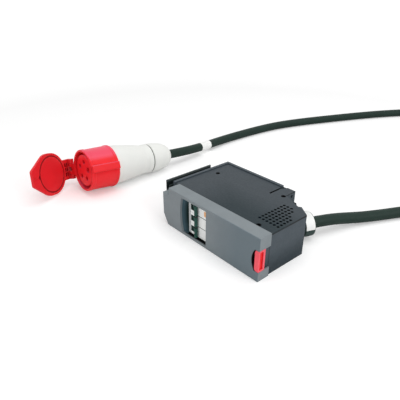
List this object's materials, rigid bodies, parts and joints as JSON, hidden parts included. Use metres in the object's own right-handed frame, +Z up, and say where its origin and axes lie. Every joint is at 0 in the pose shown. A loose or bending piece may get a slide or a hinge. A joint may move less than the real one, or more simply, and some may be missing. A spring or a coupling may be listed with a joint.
{
  "type": "power distribution module",
  "caption": "Plug-in rack power distribution module with a breaker, a red release latch and a cord that ends in a hinged-lid industrial connector.",
  "frame": {"origin": "on the floor under the middle of the module, measured without its cord and connector", "axes": "+X along the front to the right, +Y from the front to the back, +Z up"},
  "size_m": [0.6139, 1.0833, 0.0797],
  "materials": {
    "bezel_plastic": "fine satin texture",
    "case_paint": "satin powder coat",
    "well_dark": "satin",
    "rail_paint": "dark satin coat",
    "latch_red": "satin",
    "connector_red": "satin",
    "connector_white": "satin",
    "breaker_plastic": "satin",
    "handle_dark": "satin",
    "label_white": "matt film",
    "marker_orange": "matt film",
    "zinc_steel": "zinc plated",
    "black_steel": "black finish",
    "contact_brass": "turned",
    "plug_plastic": "satin",
    "gland_plastic": "satin",
    "cord_rubber": "matt",
    "seal_rubber": "matt",
    "lid_seal": "matt",
    "wire_dark": "smooth",
    "wire_blue": "smooth",
    "wire_green": "smooth"
  },
  "bodies": {
    "module": {"front_bezel": "bezel_plastic", "finger_well": "well_dark", "case_base": "case_paint", "case_cover": "case_paint", "cover_screws": "black_steel", "guide_rail": "rail_paint", "rail_screws": "black_steel", "latch_pin": "zinc_steel", "latch_spring": "zinc_steel", "terminal_screws": "zinc_steel", "handle_axle": "zinc_steel", "breaker_labels": "label_white", "orange_marker": "marker_orange", "din_rail": "zinc_steel", "rail_bracket": "zinc_steel", "bracket_screws": "zinc_steel", "rear_plug": "plug_plastic", "contact_blades": "contact_brass", "gland_body": "gland_plastic", "gland_nut": "gland_plastic", "gland_lock_nut": "gland_plastic", "gland_label": "label_white", "neutral_wire": "wire_blue", "earth_wire": "wire_green", "connector_collar": "connector_red", "socket_insert": "connector_red", "contact_carrier": "connector_red", "contact_sleeves": "contact_brass", "connector_housing": "connector_white", "sealing_ring": "seal_rubber", "clamp_nut": "connector_white", "hinge_pin": "zinc_steel", "lid_spring": "zinc_steel", "power_cord": "cord_rubber", "cord_label": "label_white", "breaker_pole_1": "breaker_plastic", "line_wire_1": "wire_dark", "load_wire_1": "wire_dark", "breaker_pole_2": "breaker_plastic", "line_wire_2": "wire_dark", "load_wire_2": "wire_dark", "breaker_pole_3": "breaker_plastic", "line_wire_3": "wire_dark", "load_wire_3": "wire_dark"},
    "breaker_handle": {"breaker_handle_1": "handle_dark", "breaker_handle_2": "handle_dark", "breaker_handle_3": "handle_dark", "handle_tie": "zinc_steel"},
    "release_latch": {"release_latch": "latch_red"},
    "connector_lid": {"connector_lid": "connector_red", "lid_gasket": "lid_seal"}
  },
  "joints": [
    {"name": "breaker_throw", "type": "hinge", "parent": "module", "child": "breaker_handle", "pos_m": [-0.02725, -0.0663, 0], "axis": [0, 0, 1], "range_deg": [-90, 0]},
    {"name": "latch_pull", "type": "hinge", "parent": "module", "child": "release_latch", "pos_m": [0.10225, -0.066, 0], "axis": [0, 0, 1], "range_deg": [0, 25], "stiffness_Nm_per_rad": 0.03, "springref_deg": -5.73},
    {"name": "lid_swing", "type": "hinge", "parent": "module", "child": "connector_lid", "pos_m": [-0.31932, -0.12028, 0.0293], "axis": [-0.2581, 0.0961, 0.9613], "range_deg": [-10, 60]}
  ]
}
